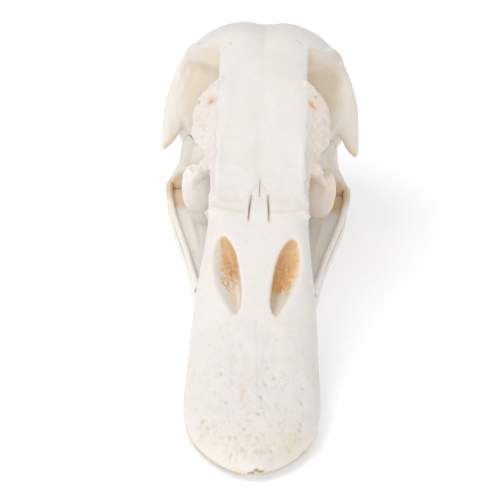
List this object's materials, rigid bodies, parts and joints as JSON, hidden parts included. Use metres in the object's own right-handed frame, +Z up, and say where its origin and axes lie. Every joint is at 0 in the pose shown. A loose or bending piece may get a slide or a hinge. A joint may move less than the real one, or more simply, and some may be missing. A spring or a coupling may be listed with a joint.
{
  "type": "duck skull",
  "caption": "Bleached skull of a domestic duck, with its lower jaw closed under the bill, lying as it rests on a table.",
  "frame": {"origin": "on the floor, below the middle of the skull's bounding box", "axes": "+Z up, the bill points to -Y, +X to the skull's left when it is seen from in front at the right of the picture"},
  "size_m": [0.0378, 0.1106, 0.0405],
  "materials": {
    "skull_bone": "bleached bone, faintly waxy, cream in the hollows",
    "bill_bone": "bleached bone, pitted towards the tip",
    "jaw_bone": "bleached bone, warm brown in the hollows",
    "lacrimal_bone": "porous bone with a faint pink tinge",
    "palate_bone": "thin warm bone"
  },
  "bodies": {
    "root": {"cranium": "skull_bone", "upper_bill": "bill_bone", "mandible": "jaw_bone", "lacrimal_left": "lacrimal_bone", "lacrimal_right": "lacrimal_bone", "quadrate_left": "skull_bone", "quadrate_right": "skull_bone", "jugal_bar_left": "jaw_bone", "jugal_bar_right": "jaw_bone", "palatine_left": "palate_bone", "palatine_right": "palate_bone", "pterygoid_left": "palate_bone", "pterygoid_right": "palate_bone"}
  },
  "joints": []
}
